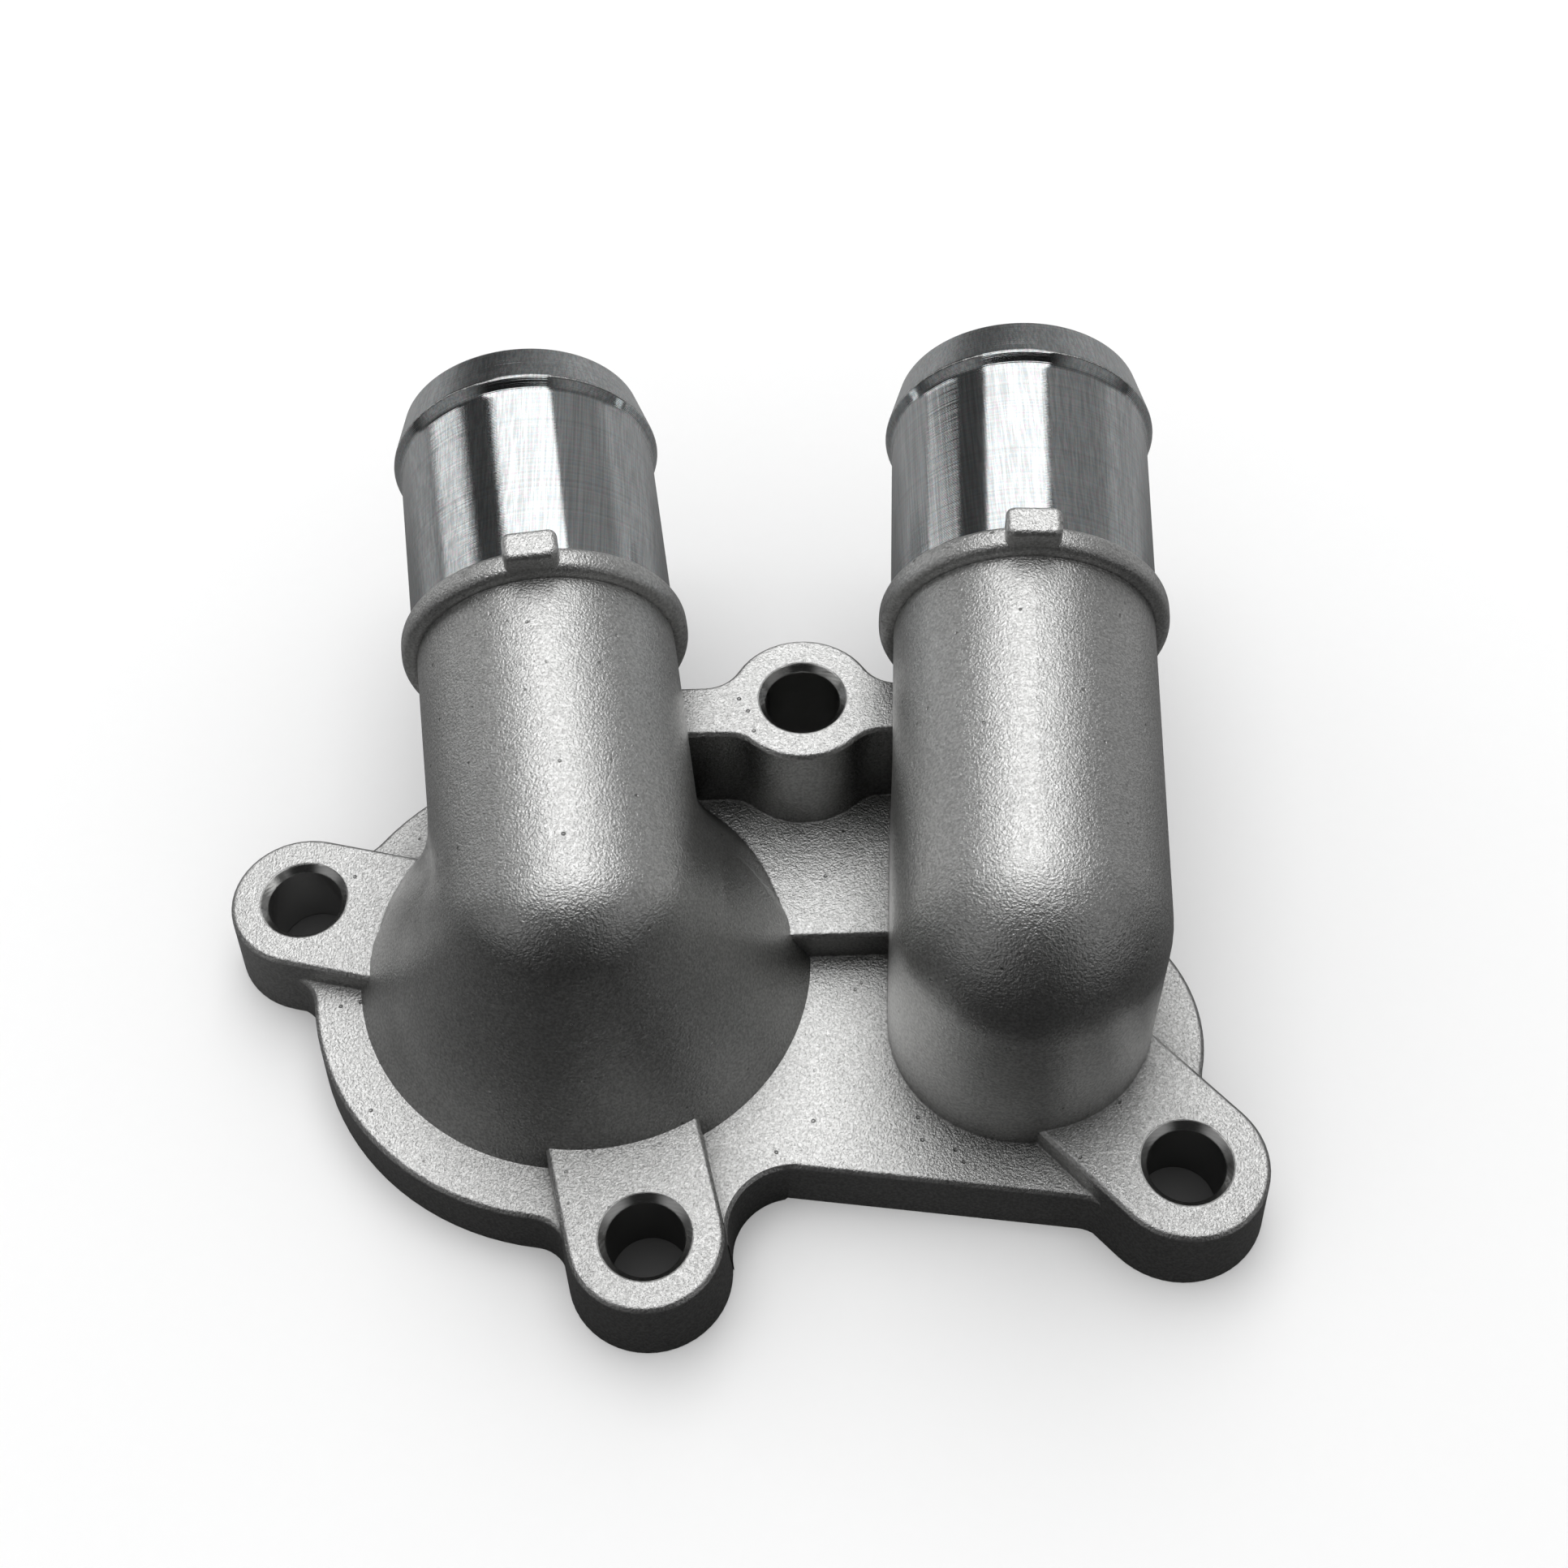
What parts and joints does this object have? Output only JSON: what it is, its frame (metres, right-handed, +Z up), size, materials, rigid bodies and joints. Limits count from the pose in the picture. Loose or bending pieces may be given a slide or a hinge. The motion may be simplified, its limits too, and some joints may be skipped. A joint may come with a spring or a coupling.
{
  "type": "thermostat housing",
  "caption": "Cast aluminium cover for an engine's thermostat, with a domed valve chamber, an elbow port and two beaded hose spigots on a bolted flange.",
  "frame": {"origin": "on the valve chamber's axis, at the gasket face", "axes": "X to the elbow port, Y to the back where both hose spigots point, Z up out of the gasket face, away from the engine"},
  "size_m": [0.1163, 0.1079, 0.0499],
  "materials": {
    "cast_housing": "shot-blasted die casting with turned hose spigots and drilled bolt holes"
  },
  "bodies": {
    "root": {"cast_housing": "cast_housing"}
  },
  "joints": []
}
